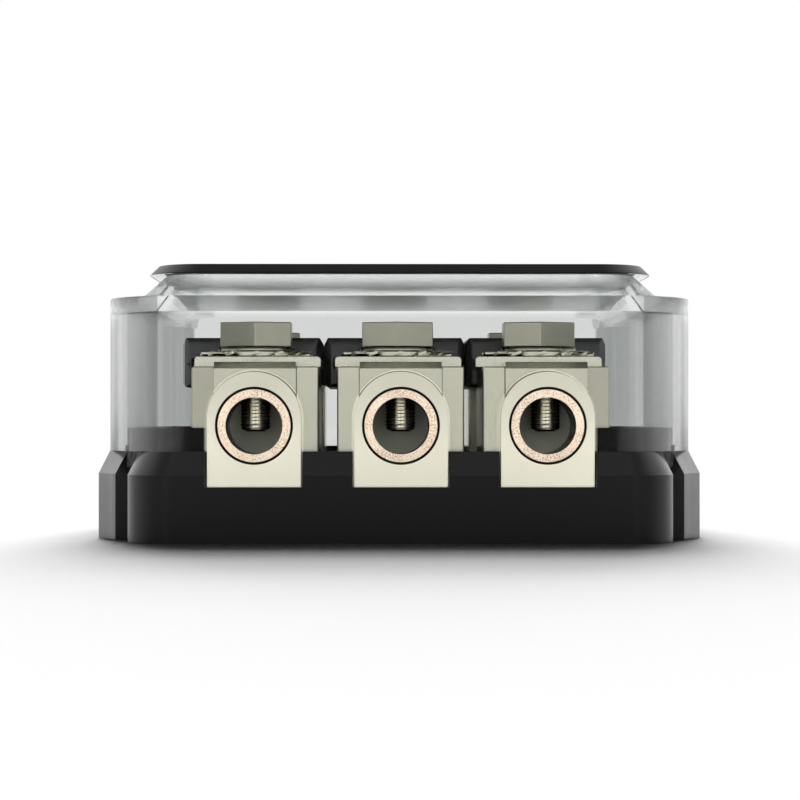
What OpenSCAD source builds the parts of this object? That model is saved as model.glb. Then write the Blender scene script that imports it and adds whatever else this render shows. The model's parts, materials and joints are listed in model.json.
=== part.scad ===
// Fused distribution block for three strip fuses: a black moulded tray, a clear lid
// with a black plate on top, and six plated cable terminals, three in front and three
// behind, each pair bridged by one bolted strip fuse.
// Origin: middle of the footprint, on the mounting surface. The front faces -Y.

/* [Layout] */
// Distance between neighbouring lanes
lane_pitch = 25.4; // [25:0.1:28]
// Depth of the whole tray, front face to rear face
tray_depth = 109; // [100:1:130]
// Distance from the tray's front face to the clamp bolt's axis
bolt_inset = 23.5; // [22:0.1:25]

/* [Tray] */
// Width over the side ears
ear_w = 108.6; // [106:0.2:114]
// Distance from the tray's front face to the full width of the ears
ear_inset = 24; // [20:0.5:28]
// Width of the slanted ear facet at each corner
ear_facet_w = 3.8; // [2:0.1:5]
// Depth of the slanted ear facet at each corner
ear_facet_len = 8.8; // [6:0.1:12]
// Width of the grooves between the ears and the front and rear panels
groove_gap = 2.8; // [2:0.1:4]
// Corner radius of the front and rear panels
panel_r = 8; // [4:0.5:10]
// Height of the outer wall
wall_h = 15.8; // [14:0.1:18]
// Height of the bevel along the top of the wall
bevel_h = 4.1; // [2:0.1:5]
// Inward run of the bevel
bevel_run = 2; // [1:0.1:2]
// Thickness of the tray floor
floor_t = 2.5; // [2:0.1:4]
// Height of the terminal seats above the mounting surface
seat_h = 9.65; // [8:0.05:11]
// Inset of a terminal seat behind the body's sides
seat_side = 0.6; // [0.2:0.1:2]
// Height of the inner lip above the wall
lip_h = 4.1; // [2:0.1:5]
// Thickness of the inner lip
lip_t = 1.4; // [1:0.1:2]
// Gap between the outer barrels and the ends of the inner lip
lip_side = 0.7; // [0.5:0.1:2]
// Diameter of the four mounting holes
mount_hole_d = 4.5; // [3.5:0.1:5]
// Distance from the side of an ear to the mounting holes
mount_side = 12.3; // [11.5:0.1:14]
// Distance from the tray's front face to the mounting holes
mount_inset = 26.5; // [22:0.5:34]
// Diameter of the screw head recess around a mounting hole
mount_head_d = 8.4; // [7:0.1:9]
// Depth of that recess
mount_head_h = 1; // [0.5:0.1:1.5]

/* [Lid] */
// Inset of the lid behind the tray's front face
lid_inset = 2; // [2:0.1:3]
// Inset of the lid behind the side of the ears
lid_side = 2.2; // [2.1:0.1:3]
// Thickness of the lid's walls, shoulder and top
lid_t = 2.6; // [2:0.1:3]
// Gap between the lid and the tray's inner lip
seat_gap = 0.2; // [0.1:0.05:0.4]
// Room between the clamp bolts' heads and the underside of the lid's shoulder
head_room = 1.44; // [1:0.01:4]
// Height that the crown rises above the shoulder
crown_h = 3.85; // [3:0.05:5]
// Width of the lid's level shoulder at the sides of the crown
shoulder_w = 6.4; // [5:0.1:8]
// Inward run of the crown's slope
crown_run = 4.1; // [3:0.1:5]
// Width of a rounded lid corner
lid_corner_w = 14.6; // [10:0.1:16]
// Depth of a rounded lid corner
lid_corner_l = 22.5; // [16:0.5:26]
// Width of a rounded crown corner
crown_corner_w = 9.5; // [8:0.1:10]
// Depth of a rounded crown corner
crown_corner_l = 13; // [10:0.5:16]
// Width of the snap tab in each corner groove
tab_w = 2.4; // [2.2:0.1:3]
// Length of the snap tab below the lid's rim
tab_h = 2.9; // [2:0.1:4]
// Thickness of the snap tab
tab_t = 2; // [1.5:0.1:2.5]

/* [Badge] */
// Thickness of the badge plate
badge_t = 1.75; // [1.2:0.05:2.5]
// Overhang of the badge plate over the crown's top
badge_over = 2.7; // [1:0.1:3.5]
// Bevel around the top of the badge plate
badge_bevel = 1.5; // [0.5:0.1:1.6]

/* [Terminal] */
// Inset of the barrel's face behind the tray's front face
barrel_inset = 1.8; // [1.6:0.1:2]
// Width of the barrel
barrel_w = 16.2; // [15.6:0.1:17]
// Height of the barrel's arch centre above its seat
arch_h = 11.85; // [11:0.05:13]
// Height of the bore's centre above the seat
bore_h = 10.6; // [10:0.05:11]
// Diameter of the bore for the cable sleeve
bore_d = 12.7; // [12:0.05:13]
// Metal between the end of the bore and the clamp bolt's hole
bore_web = 3.5; // [2:0.1:5]
// Width of the open groove around the sleeve at the bore's mouth
mouth_w = 0.4; // [0.3:0.05:0.6]
// Depth of that groove
mouth_h = 1.2; // [0.8:0.1:2]
// Inset of the screw boss behind the tray's front face
boss_inset = 5; // [5:0.1:5.2]
// Width of the screw boss
boss_w = 14.3; // [13:0.1:15]
// Length of the screw boss
boss_len = 8.7; // [8:0.1:9]
// Height of the screw boss above the body
boss_h = 0.8; // [0.5:0.1:1.5]
// Chamfer along the boss's upper front edge
boss_chamfer = 1.2; // [0.5:0.1:1.5]
// Inset of the body behind the tray's front face
body_inset = 6.4; // [6.3:0.1:7]
// Gap between the bodies of neighbouring terminals
body_gap = 3.2; // [2.4:0.1:4]
// Height of the body
body_h = 20.95; // [20:0.05:23]
// Length of the body behind the bolt's axis
body_tail = 11; // [10.5:0.1:11.2]
// Rounding of the body's edges
body_round = 0.6; // [0.3:0.1:1]
// Gap between a terminal and the notch or arch around it
notch_gap = 0.25; // [0.2:0.05:0.5]
// Gap between the lid's arch and the barrel
arch_gap = 0.4; // [0.3:0.05:0.6]

/* [Cable sleeve] */
// Inset of the sleeve's face behind the barrel's face
sleeve_inset = 0.2; // [0.1:0.1:1]
// Inner diameter of the sleeve
sleeve_id = 9.86; // [8:0.02:10.5]
// Room around the set screw where it passes through the sleeve
pass_gap = 0.3; // [0.2:0.05:0.5]
// Running clearance of sleeves and screws, all round
fit_gap = 0.05; // [0.03:0.01:0.08]

/* [Fasteners] */
// Diameter of the cable set screw
set_d = 5.4; // [4:0.1:6]
// Depth of the set screw's top below the boss
set_sink = 0.15; // [0.05:0.05:1]
// Height of the set screw's tip above the terminal seat
set_tip_h = 9.6; // [9:0.1:11]
// Width across the flats of the set screw's socket
set_socket = 3; // [2:0.1:3]
// Depth of the set screw's socket
socket_h = 3.5; // [2:0.1:4]
// Chamfer at the set screw's tip
set_chamfer = 0.7; // [0.3:0.1:1]
// Diameter of the clamp bolt's shank
bolt_d = 6; // [5:0.1:8]
// Length of the clamp bolt's shank
bolt_len = 16; // [12:0.5:17]
// Width across the flats of the clamp bolt's head
hex_af = 12.7; // [10:0.1:13]
// Height of the clamp bolt's head
hex_h = 4.4; // [3:0.1:5]
// Outer diameter of the spring washer
spring_d = 13.8; // [12:0.1:14]
// Thickness of the spring washer
spring_t = 0.75; // [0.5:0.05:1]
// Width of the spring washer's split
spring_split = 1.2; // [0.6:0.1:2]
// Direction that the split faces
split_angle = 200; // [0:10:350]
// Room around the bolt in both washers
washer_gap = 0.6; // [0.3:0.1:1]
// Outer diameter of the toothed washer
tooth_d = 20.7; // [18:0.1:21]
// Diameter of the ring that the teeth stand on
tooth_ring_d = 15.3; // [14:0.1:17]
// Height of the toothed washer
tooth_h = 1.1; // [0.9:0.05:1.3]
// Number of teeth
tooth_n = 14; // [10:1:16]
// Share of the ring's edge that the teeth take up
tooth_share = 0.52; // [0.4:0.02:0.7]
// Twist of each tooth
tooth_twist = 16; // [8:1:20]
// Diameter of the screws that hold the terminals from below
fix_d = 4; // [3:0.1:5]
// Length of those screws under the head
fix_len = 11; // [10:0.5:12]
// Head diameter of those screws
fix_head_d = 7.4; // [6:0.1:8]
// Head height of those screws
fix_head_h = 1.5; // [1.2:0.1:2]
// Distance from the body's rear face to the fixing screw's axis
fix_edge = 4.4; // [4:0.1:5]
// Width of the cross cut into those heads
cross_w = 1; // [0.6:0.1:1.2]
// Length of that cross
cross_len = 4.4; // [3:0.1:5]
// Depth of that cross
cross_h = 0.8; // [0.5:0.1:1]

/* [Fuse] */
// Length of the fuse blade beyond the clamp bolt's axis
blade_end = 9.5; // [8:0.1:9.6]
// Overhang of the fuse blade over the terminal's sides
blade_over = 0.1; // [0:0.05:0.5]
// Thickness of the fuse blade
blade_t = 1.9; // [1.5:0.1:2]
// Rounding along the blade's upper edges
blade_round = 0.7; // [0.2:0.1:1]
// Width of the melting neck
neck_w = 5; // [3:0.5:10]
// Share of the case's length that the melting neck takes up
neck_share = 0.52; // [0.4:0.02:0.6]
// Width of the slot for the bolt
slot_w = 8.6; // [8.2:0.1:9]
// Length of the slot for the bolt
slot_len = 10.4; // [9:0.1:11]
// Gap between a fuse case and the terminals at its ends
case_clear = 1; // [0.6:0.1:3]
// Extra distance from fuse to fuse, over the distance from lane to lane
fuse_fan = 0.75; // [0:0.05:1]
// Height of the case below the blade's middle
case_down = 4.3; // [3.5:0.1:5]
// Height of the case above the blade's middle
case_up = 4.85; // [4:0.05:5]
// Bevel of the case's edges
case_bevel = 1.2; // [0.5:0.1:1.5]
// Wall around the hollow of the fuse case
case_wall = 2; // [1.5:0.1:3]
// Gap that keeps neighbouring cases apart
case_gap = 0.25; // [0.2:0.05:0.5]
// Sideways play that the fuses have taken up
fuse_shift = -0.8; // [-1:0.1:1]
// Width of the window in the case
window_w = 12; // [8:0.5:14]
// Share of the case's length that the window takes up
window_share = 0.42; // [0.3:0.02:0.5]
// Thickness of the window
window_t = 1; // [0.8:0.1:1.5]
// Ledge that the window rests on
window_ledge = 1; // [0.6:0.1:2]
// Play of the window and of the blade in the case, all round
case_play = 0.05; // [0.03:0.01:0.1]

/* [Hidden] */
$fn = 64;
// Points along each rounded corner of the lid, crown and badge
corner_n = 14;
// Overlap of joined solids, and overshoot of cuts
eps = 0.01;
over = 1;

front_y = -tray_depth / 2;
bolt_y = front_y + bolt_inset;
stud_spacing = -2 * bolt_y;
end_cut = tray_depth / 4;

ear_len = tray_depth - 2 * ear_inset;
panel_w = ear_w - 2 * (ear_facet_w + groove_gap);
mount_dx = ear_w - 2 * mount_side;
mount_dy = tray_depth - 2 * mount_inset;
groove_y = ear_len / 2 + ear_facet_len;
groove_w = ear_w - 2 * ear_facet_w;
bevel_z = wall_h - bevel_h;

body_w = lane_pitch - body_gap;
body_y0 = front_y + body_inset;
body_y1 = bolt_y + body_tail;
body_top = seat_h + body_h;
seat_w = body_w - 2 * seat_side;
barrel_y = front_y + barrel_inset;
bore_len = bolt_inset - bolt_d / 2 - bore_web - barrel_inset;
bore_z = seat_h + bore_h;
arch_z = seat_h + arch_h;
boss_y = front_y + boss_inset;
set_y = boss_y + boss_len / 2;
set_len = body_h + boss_h - set_sink - set_tip_h;
fix_y = body_y1 - fix_edge;
fix_z = floor_t - fix_head_h;

blade_w = body_w + 2 * blade_over;
blade_len = stud_spacing + 2 * blade_end;
blade_z = body_top + eps;
blade_mid = blade_z + blade_t / 2;
tooth_z = blade_z + blade_t;
spring_z = tooth_z + tooth_h;
head_z = spring_z + spring_t;

fuse_pitch = lane_pitch + fuse_fan;
bolt_shift = fuse_shift / 2;
case_w = fuse_pitch - case_gap;
case_len = stud_spacing - 2 * (body_tail + case_clear);
neck_len = case_len * neck_share;
window_len = case_len * window_share;

lid_w = ear_w - 2 * lid_side;
lid_d = tray_depth - 2 * lid_inset;
ceiling_h = head_z + hex_h + head_room;
shoulder_h = ceiling_h + lid_t;
crown_top = shoulder_h + crown_h;
crown_w = lid_w - 2 * shoulder_w;
// How far a 45 degree slope's inner face draws in so that its wall stays lid_t thick
slope_draw = lid_t * tan(45 / 2);
lip_shrink = lid_t + seat_gap;
well_shrink = lip_shrink + lip_t;
well_d = lid_d - 2 * well_shrink;
lip_open = lane_pitch + barrel_w / 2 + lip_side;

LANES = ["left", "middle", "right"];
SIDES = ["front", "rear"];

function each_terminal(what) = [for (s = SIDES) for (l = LANES) str(what, "_", s, "_", l)];
function each_fuse(what) = [for (l = LANES) str(what, "_", l)];

// Outline of a plate w wide and d deep whose corners are quarter ellipses, a wide and b deep
function corner_points(w, d, a, b) = [
    for (q = [0:3]) for (i = [0:corner_n])
        let (t = q * 90 + i * 90 / corner_n)
        [
            (q == 0 || q == 3 ? 1 : -1) * (w / 2 - a) + a * cos(t),
            (q < 2 ? 1 : -1) * (d / 2 - b) + b * sin(t)
        ]
];

// The tray's side ears with their cut corners, drawn in by c
function ear_points(c) =
    let (x = ear_w / 2 - c, y = ear_len / 2 - c / 2, gx = groove_w / 2 - c, gy = groove_y - c)
    [[x, -y], [x, y], [gx, gy], [-gx, gy], [-x, y], [-x, -y], [-gx, -gy], [gx, -gy]];

// Solid between two outlines of equal point count, at heights z0 and z1
module loft(low, z0, high, z1) {
    n = len(low);
    points = concat([for (p = low) [p[0], p[1], z0]], [for (p = high) [p[0], p[1], z1]]);
    sides = [
        for (i = [0:n - 1])
            let (j = (i + 1) % n)
            each [[i, n + i, n + j], [i, n + j, j]]
    ];
    polyhedron(points, concat([[for (i = [0:n - 1]) i], [for (i = [n - 1:-1:0]) n + i]], sides));
}

module slab(points, z0, z1) {
    translate([0, 0, z0]) linear_extrude(z1 - z0) polygon(points);
}

// Places a child at one lane of the front or the rear
module at_lane(side, lane) {
    mirror([0, side, 0]) translate([(lane - 1) * lane_pitch, 0, 0]) children();
}

// TRAY

module wall_stack(low, high) {
    slab(low, 0, bevel_z);
    loft(low, bevel_z - eps, high, wall_h);
}

module tray_shell() {
    wall_stack(
        corner_points(panel_w, tray_depth, panel_r, panel_r),
        corner_points(panel_w - 2 * bevel_run, tray_depth - 2 * bevel_run,
            panel_r - bevel_run / 2, panel_r - bevel_run / 2)
    );
    wall_stack(ear_points(0), ear_points(bevel_run));
}

// The lid's outline, drawn in by c
function lid_points(c) = corner_points(lid_w - 2 * c, lid_d - 2 * c, lid_corner_w - c, lid_corner_l - c);

// Way through the inner lip for a snap tab of the lid
module tab_way() {
    translate([panel_w / 2 - bevel_run, -groove_y - tab_t - 2 * seat_gap, wall_h - tab_h - seat_gap])
        cube([tab_w + bevel_run, tab_t + 2 * seat_gap, tab_h + lip_h + over]);
}

module lip() {
    difference() {
        slab(lid_points(lip_shrink), bevel_z, wall_h + lip_h);
        slab(lid_points(well_shrink), 0, wall_h + lip_h + over);
        for (side = [0, 1]) mirror([0, side, 0])
            translate([-lip_open, front_y, wall_h]) cube([2 * lip_open, end_cut, lip_h + over]);
        for (x = [0, 1]) for (y = [0, 1]) mirror([x, 0, 0]) mirror([0, y, 0]) tab_way();
    }
}

module notches() {
    w = barrel_w + 2 * notch_gap;
    for (side = [0, 1]) for (lane = [0:2]) at_lane(side, lane)
        translate([-w / 2, front_y - over, seat_h]) cube([w, (tray_depth - well_d) / 2 + 2 * over, wall_h]);
}

// Hole and head recess of the screw that holds a terminal on its seat
module fixing_hole() {
    translate([0, fix_y, -over]) {
        cylinder(d = fix_d + 2 * seat_gap, h = seat_h + 2 * over);
        cylinder(d = fix_head_d + 2 * seat_gap, h = floor_t + over);
    }
}

module tray() {
    color([0.1, 0.1, 0.11]) difference() {
        union() {
            difference() {
                tray_shell();
                slab(lid_points(well_shrink), floor_t, wall_h + over);
            }
            lip();
            for (side = [0, 1]) for (lane = [0:2]) at_lane(side, lane)
                translate([-seat_w / 2, -well_d / 2 - over, floor_t - eps])
                    cube([seat_w, body_y1 + well_d / 2 + over, seat_h - floor_t + eps]);
        }
        notches();
        for (side = [0, 1]) for (lane = [0:2]) at_lane(side, lane) fixing_hole();
        for (x = [-1, 1]) for (y = [-1, 1]) translate([x * mount_dx / 2, y * mount_dy / 2, 0]) {
            translate([0, 0, -over]) cylinder(d = mount_hole_d, h = floor_t + 2 * over);
            translate([0, 0, floor_t - mount_head_h]) cylinder(d = mount_head_d, h = mount_head_h + over);
        }
    }
}

// LID

module arch_cut() {
    r = barrel_w / 2 + arch_gap;
    translate([0, front_y - over, 0]) {
        translate([0, 0, arch_z]) rotate([-90, 0, 0]) cylinder(r = r, h = end_cut);
        translate([-r, 0, 0]) cube([2 * r, end_cut, arch_z]);
    }
}

// Snap tab that hangs from the lid's rim into a corner groove, cut to the slope of the panel's bevel
module snap_tab() {
    foot = panel_w / 2 - bevel_run + seat_gap;
    translate([0, -groove_y - seat_gap, 0]) rotate([90, 0, 0]) linear_extrude(tab_t)
        polygon([
            [foot, wall_h + over],
            [foot, wall_h],
            [foot + tab_h * bevel_run / bevel_h, wall_h - tab_h],
            [foot + tab_w, wall_h - tab_h],
            [foot + tab_w, wall_h + over]
        ]);
}

// The crown's outline, drawn in by c, with corners drawn in by r
function crown_points(c, r) =
    corner_points(crown_w - 2 * c, lid_d - 2 * c, crown_corner_w - r, crown_corner_l - r);

module lid() {
    color([0.85, 0.88, 0.9, 0.35]) difference() {
        union() {
            slab(lid_points(0), wall_h, shoulder_h);
            loft(crown_points(0, 0), shoulder_h - eps, crown_points(crown_run, crown_run / 2), crown_top);
            for (x = [0, 1]) for (y = [0, 1]) mirror([x, 0, 0]) mirror([0, y, 0]) snap_tab();
        }
        difference() {
            slab(lid_points(lid_t), 0, ceiling_h);
            for (x = [0, 1]) for (y = [0, 1]) mirror([x, 0, 0]) mirror([0, y, 0]) snap_tab();
        }
        loft(crown_points(lid_t, lid_t / 2), ceiling_h - eps,
            crown_points(crown_run + slope_draw, (crown_run + lid_t) / 2), crown_top - lid_t);
        for (side = [0, 1]) for (lane = [0:2]) at_lane(side, lane) arch_cut();
    }
}

module badge() {
    w = crown_w - 2 * crown_run + 2 * badge_over;
    d = lid_d - 2 * crown_run + 2 * badge_over;
    a = crown_corner_w - crown_run / 2 + badge_over / 2;
    b = crown_corner_l - crown_run / 2 + badge_over / 2;
    edge = badge_t - badge_bevel;
    color([0.13, 0.13, 0.13]) {
        slab(corner_points(w, d, a, b), crown_top, crown_top + edge);
        loft(corner_points(w, d, a, b), crown_top + edge - eps,
            corner_points(w - 2 * badge_bevel, d - 2 * badge_bevel,
                a - badge_bevel / 2, b - badge_bevel / 2),
            crown_top + badge_t);
    }
}

// TERMINALS

module rounded_rect(w, h, r) {
    hull() for (x = [r, w - r]) for (y = [r, h - r]) translate([x, y]) circle(r, $fn = 32);
}

module barrel() {
    translate([0, barrel_y, 0]) rotate([-90, 0, 0]) linear_extrude(body_inset - barrel_inset + over) {
        translate([0, -arch_z]) circle(d = barrel_w);
        translate([-barrel_w / 2, -arch_z]) square([barrel_w, arch_h]);
    }
}

module boss() {
    top = seat_h + body_h + boss_h;
    translate([-boss_w / 2, boss_y, 0]) rotate([90, 0, 90]) linear_extrude(boss_w)
        polygon([
            [0, seat_h],
            [boss_len, seat_h],
            [boss_len, top],
            [boss_chamfer, top],
            [0, top - boss_chamfer]
        ]);
}

module body() {
    len_y = body_y1 - body_y0;
    intersection() {
        translate([-body_w / 2, body_y0, seat_h]) linear_extrude(body_h)
            rounded_rect(body_w, len_y, body_round);
        translate([-body_w / 2, body_y1 + over, seat_h - body_round]) rotate([90, 0, 0])
            linear_extrude(len_y + 2 * over) rounded_rect(body_w, body_h + body_round, body_round);
    }
}

module terminal() {
    color([0.8, 0.78, 0.7]) difference() {
        union() {
            barrel();
            boss();
            body();
        }
        translate([0, barrel_y, bore_z]) rotate([-90, 0, 0]) {
            translate([0, 0, -over]) cylinder(d = bore_d, h = bore_len + over);
            translate([0, 0, -over]) cylinder(d = bore_d + 2 * mouth_w, h = mouth_h + over);
        }
        translate([0, set_y, bore_z]) cylinder(d = set_d + 2 * fit_gap, h = body_h);
        translate([bolt_shift, bolt_y, head_z - bolt_len - over])
            cylinder(d = bolt_d + 2 * fit_gap, h = body_h);
        translate([0, fix_y, floor_t]) cylinder(d = fix_d + 2 * fit_gap, h = fix_len + over);
    }
}

module cable_sleeve() {
    len_y = bore_len - sleeve_inset;
    color([0.92, 0.78, 0.68]) difference() {
        translate([0, barrel_y + sleeve_inset, bore_z]) rotate([-90, 0, 0]) difference() {
            cylinder(d = bore_d - 2 * fit_gap, h = len_y);
            translate([0, 0, -over]) cylinder(d = sleeve_id, h = len_y + 2 * over);
        }
        translate([0, set_y, bore_z]) cylinder(d = set_d + 2 * pass_gap, h = bore_d);
    }
}

// FASTENERS

module set_screw() {
    color([0.75, 0.73, 0.66]) translate([0, set_y, seat_h + set_tip_h]) difference() {
        union() {
            cylinder(d1 = set_d - 2 * set_chamfer, d2 = set_d, h = set_chamfer);
            translate([0, 0, set_chamfer]) cylinder(d = set_d, h = set_len - set_chamfer);
        }
        translate([0, 0, set_len - socket_h])
            cylinder(d = set_socket / cos(30), h = socket_h + over, $fn = 6);
    }
}

module clamp_bolt() {
    color([0.62, 0.61, 0.54]) translate([bolt_shift, bolt_y, head_z]) {
        rotate([0, 0, 30]) cylinder(d = hex_af / cos(30), h = hex_h, $fn = 6);
        translate([0, 0, -bolt_len]) cylinder(d = bolt_d, h = bolt_len + eps);
    }
}

module spring_washer() {
    color([0.72, 0.7, 0.62]) translate([bolt_shift, bolt_y, spring_z]) difference() {
        cylinder(d = spring_d, h = spring_t);
        translate([0, 0, -over]) cylinder(d = bolt_d + 2 * washer_gap, h = spring_t + 2 * over);
        rotate([0, 0, split_angle]) translate([0, -spring_split / 2, -over])
            cube([spring_d, spring_split, spring_t + 2 * over]);
    }
}

// Toothed lock washer: a flat ring whose outer teeth are each twisted about their own length
module toothed_washer() {
    tooth_w = tooth_share * PI * tooth_ring_d / tooth_n;
    root = tooth_ring_d / 2 - tooth_h / 2;
    tip = sqrt(pow(tooth_d / 2, 2) - pow(tooth_w / 2, 2));
    leaf_t = tooth_h - tooth_w * sin(tooth_twist);
    color([0.85, 0.83, 0.75]) translate([bolt_shift, bolt_y, tooth_z]) difference() {
        union() {
            cylinder(d = tooth_ring_d, h = tooth_h);
            for (i = [0:tooth_n - 1]) rotate([0, 0, (i + 0.5) * 360 / tooth_n])
                translate([root, 0, tooth_h / 2]) rotate([tooth_twist, 0, 0])
                    translate([0, -tooth_w / 2, -leaf_t / 2]) cube([tip - root, tooth_w, leaf_t]);
        }
        translate([0, 0, -over]) cylinder(d = bolt_d + 2 * washer_gap, h = tooth_h + 2 * over);
    }
}

module fixing_screw() {
    color([0.5, 0.5, 0.48]) translate([0, fix_y, fix_z]) difference() {
        union() {
            cylinder(d = fix_head_d, h = fix_head_h);
            cylinder(d = fix_d, h = fix_head_h + fix_len);
        }
        for (a = [0, 90]) rotate([0, 0, a])
            translate([-cross_len / 2, -cross_w / 2, -over]) cube([cross_len, cross_w, cross_h + over]);
    }
}

// FUSES

// Box w wide and l long about the Z axis, h high from z
module centred_box(w, l, z, h) {
    translate([-w / 2, -l / 2, z]) cube([w, l, h]);
}

module slot(y) {
    run = slot_len - slot_w;
    for (s = [-1, 1]) translate([0, y + s * run / 2, -over]) cylinder(d = slot_w, h = blade_t + 2 * over);
    translate([0, y, 0]) centred_box(slot_w, run, -over, blade_t + 2 * over);
}

// Cross-section of the blade, flat below and rounded along its upper edges
module blade_profile() {
    r = blade_round;
    square([blade_w, blade_t - r]);
    translate([r, 0]) square([blade_w - 2 * r, blade_t]);
    for (x = [r, blade_w - r]) translate([x, blade_t - r]) circle(r);
}

module fuse_blade() {
    color([0.82, 0.8, 0.72]) translate([0, 0, blade_z]) difference() {
        translate([-blade_w / 2, blade_len / 2, 0]) rotate([90, 0, 0]) linear_extrude(blade_len)
            blade_profile();
        for (s = [-1, 1]) translate([-bolt_shift, 0, 0]) slot(s * stud_spacing / 2);
        for (s = [-1, 1]) translate([s * (neck_w + blade_w) / 2 - blade_w / 2, -neck_len / 2, -over])
            cube([blade_w, neck_len, blade_t + 2 * over]);
    }
}

// Block of the case with bevelled upright edges and bevelled edges along its top and bottom
module case_block() {
    w = case_w / 2;
    l = case_len / 2;
    c = case_bevel;
    intersection() {
        translate([0, 0, -case_down]) linear_extrude(case_down + case_up)
            polygon([
                [w, c - l], [w, l - c], [w - c, l], [c - w, l],
                [-w, l - c], [-w, c - l], [c - w, -l], [w - c, -l]
            ]);
        translate([0, l + over, 0]) rotate([90, 0, 0]) linear_extrude(case_len + 2 * over) case_profile(w, c);
        translate([-w - over, 0, 0]) rotate([90, 0, 90]) linear_extrude(case_w + 2 * over) case_profile(l, c);
    }
}

// Upright section of the case, r to either side, with a steep bevel above and a small one below
module case_profile(r, c) {
    polygon([
        [r, c / 2 - case_down], [r, case_up - c], [r - c / 2, case_up], [c / 2 - r, case_up],
        [-r, case_up - c], [-r, c / 2 - case_down], [c / 2 - r, -case_down], [r - c / 2, -case_down]
    ]);
}

module case_hollow() {
    w = blade_w - 2 * case_wall;
    l = neck_len + 2 * case_wall;
    h = min(case_down, case_up) - case_wall;
    centred_box(w, l, -h, 2 * h);
}

module blade_channel() {
    w = blade_w + 2 * case_play;
    translate([-w / 2, -case_len / 2 - over, -blade_t / 2]) cube([w, case_len + 2 * over, blade_t]);
}

module fuse_case_lower() {
    color([0.2, 0.2, 0.21]) translate([0, 0, blade_mid]) difference() {
        case_block();
        blade_channel();
        case_hollow();
        translate([-case_w, -case_len, 0]) cube([2 * case_w, 2 * case_len, case_up + over]);
    }
}

module fuse_case_upper() {
    color([0.2, 0.2, 0.21]) translate([0, 0, blade_mid]) difference() {
        case_block();
        blade_channel();
        case_hollow();
        translate([-case_w, -case_len, -case_down - over]) cube([2 * case_w, 2 * case_len, case_down + over]);
        centred_box(window_w - 2 * window_ledge, window_len - 2 * window_ledge, 0, case_up + over);
        centred_box(window_w, window_len, case_up - window_t, window_t + over);
    }
}

module fuse_window() {
    color([0.9, 0.9, 0.9, 0.4]) translate([0, 0, blade_mid])
        centred_box(window_w - 2 * case_play, window_len - 2 * case_play, case_up - window_t, window_t);
}

module terminal_group(what, side, lane) {
    at_lane(side, lane) {
        if (what == "terminal") terminal();
        if (what == "cable_sleeve") cable_sleeve();
        if (what == "set_screw") set_screw();
        if (what == "clamp_bolt") clamp_bolt();
        if (what == "spring_washer") spring_washer();
        if (what == "toothed_washer") toothed_washer();
        if (what == "fixing_screw") fixing_screw();
    }
}

module fuse_group(what, lane) {
    translate([(lane - 1) * fuse_pitch + fuse_shift, 0, 0]) {
        if (what == "fuse_blade") fuse_blade();
        if (what == "fuse_case_lower") fuse_case_lower();
        if (what == "fuse_case_upper") fuse_case_upper();
        if (what == "fuse_window") fuse_window();
    }
}

TERMINAL_PARTS = [
    "terminal", "cable_sleeve", "set_screw", "clamp_bolt", "spring_washer", "toothed_washer", "fixing_screw"
];
FUSE_PARTS = ["fuse_blade", "fuse_case_lower", "fuse_case_upper", "fuse_window"];

tray();
lid();
badge();
for (what = TERMINAL_PARTS) for (side = [0, 1]) for (lane = [0:2])
    terminal_group(what, side, lane);
for (what = FUSE_PARTS) for (lane = [0:2])
    fuse_group(what, lane);
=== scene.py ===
import json
import math

import bmesh
import bpy
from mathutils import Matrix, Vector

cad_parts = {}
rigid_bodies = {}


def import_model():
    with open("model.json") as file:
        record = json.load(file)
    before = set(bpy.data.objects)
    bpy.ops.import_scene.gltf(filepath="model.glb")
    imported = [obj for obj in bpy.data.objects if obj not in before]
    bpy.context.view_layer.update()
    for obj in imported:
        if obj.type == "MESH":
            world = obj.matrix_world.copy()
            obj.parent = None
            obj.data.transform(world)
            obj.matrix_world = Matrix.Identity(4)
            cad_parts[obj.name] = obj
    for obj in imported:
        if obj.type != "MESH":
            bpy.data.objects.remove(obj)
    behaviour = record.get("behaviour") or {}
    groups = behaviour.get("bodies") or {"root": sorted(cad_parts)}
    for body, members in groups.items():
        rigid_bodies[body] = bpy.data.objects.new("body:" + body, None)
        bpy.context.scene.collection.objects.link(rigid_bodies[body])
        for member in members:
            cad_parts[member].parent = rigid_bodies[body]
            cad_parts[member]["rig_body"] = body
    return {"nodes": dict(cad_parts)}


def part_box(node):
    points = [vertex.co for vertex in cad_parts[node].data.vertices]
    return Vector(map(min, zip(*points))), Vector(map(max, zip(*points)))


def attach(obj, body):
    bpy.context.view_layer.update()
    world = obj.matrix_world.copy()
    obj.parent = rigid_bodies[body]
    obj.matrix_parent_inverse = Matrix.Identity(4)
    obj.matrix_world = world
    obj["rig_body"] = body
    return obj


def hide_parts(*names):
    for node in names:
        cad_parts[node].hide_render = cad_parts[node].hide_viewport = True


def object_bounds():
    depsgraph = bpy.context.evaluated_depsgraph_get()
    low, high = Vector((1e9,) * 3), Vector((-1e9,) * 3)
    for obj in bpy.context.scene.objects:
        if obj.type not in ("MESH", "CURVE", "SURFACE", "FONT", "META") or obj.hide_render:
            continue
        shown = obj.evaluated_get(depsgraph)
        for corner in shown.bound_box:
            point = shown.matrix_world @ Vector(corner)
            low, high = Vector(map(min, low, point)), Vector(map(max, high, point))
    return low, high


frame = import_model()
cad_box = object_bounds()
nodes = frame["nodes"]

MM = 0.001
LANES = ("left", "middle", "right")
SIDES = ("front", "rear")

# Camera, from the photograph: eye height, distance and the point that level lines run to
PHOTO_PX = 800
EYE_DISTANCE = 480 * MM
EYE_HEIGHT = 21.6 * MM
EYE_X = -5.7 * MM
PX_PER_MM_AT_FRONT = 5.81
VANISH_X_PX = 368
HORIZON_Y_PX = 418
SENSOR_MM = 36.0
CLIP_START = 10 * MM

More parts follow.
